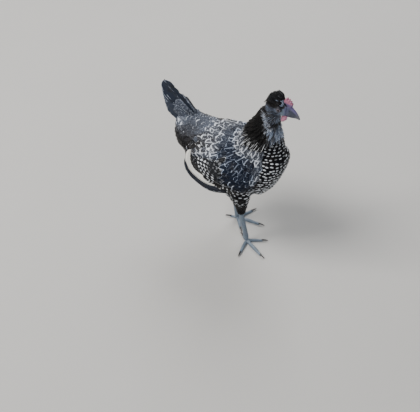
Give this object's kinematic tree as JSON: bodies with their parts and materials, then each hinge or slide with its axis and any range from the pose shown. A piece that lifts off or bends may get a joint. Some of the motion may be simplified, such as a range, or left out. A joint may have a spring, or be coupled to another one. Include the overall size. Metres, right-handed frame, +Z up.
{
  "type": "chicken",
  "caption": "Life-size still model of a crested, black and white mottled pullet that stands in mid-stride with its tail raised.",
  "frame": {"origin": "on the floor, under the middle of the bird's bounding box", "axes": "+X towards the beak, +Y to the bird's left, +Z up"},
  "size_m": [0.2846, 0.1494, 0.3657],
  "materials": {
    "black_feather": "satin feather",
    "mottled_feather": "satin feather, black with white spots and lacing",
    "grey_feather": "satin feather, grey with fine pale flecks",
    "slate_feather": "smooth feather with a faint blue sheen",
    "flight_feather": "smooth feather, slate and cream",
    "face_skin": "matte skin under hair-fine feathers",
    "comb_skin": "waxy, finely pebbled",
    "beak_horn": "satin horn",
    "claw_horn": "satin horn",
    "eye": "wet gloss",
    "leg_scale": "satin scales"
  },
  "bodies": {
    "root": {"beak_lower": "beak_horn", "beak_upper": "beak_horn", "claw_hind_left": "claw_horn", "claw_hind_right": "claw_horn", "claw_inner_left": "claw_horn", "claw_inner_right": "claw_horn", "claw_middle_left": "claw_horn", "claw_middle_right": "claw_horn", "claw_outer_left": "claw_horn", "claw_outer_right": "claw_horn", "comb": "comb_skin", "crest": "black_feather", "eye_left": "eye", "eye_right": "eye", "head": "face_skin", "neck": "black_feather", "primaries_left": "flight_feather", "primaries_right": "flight_feather", "rump": "grey_feather", "shank_left": "leg_scale", "shank_right": "leg_scale", "tail": "slate_feather", "thigh_left": "black_feather", "thigh_right": "black_feather", "toes_left": "leg_scale", "toes_right": "leg_scale", "trunk": "mottled_feather", "wattle_left": "comb_skin", "wattle_right": "comb_skin", "wing_left": "mottled_feather", "wing_right": "mottled_feather"}
  },
  "joints": []
}
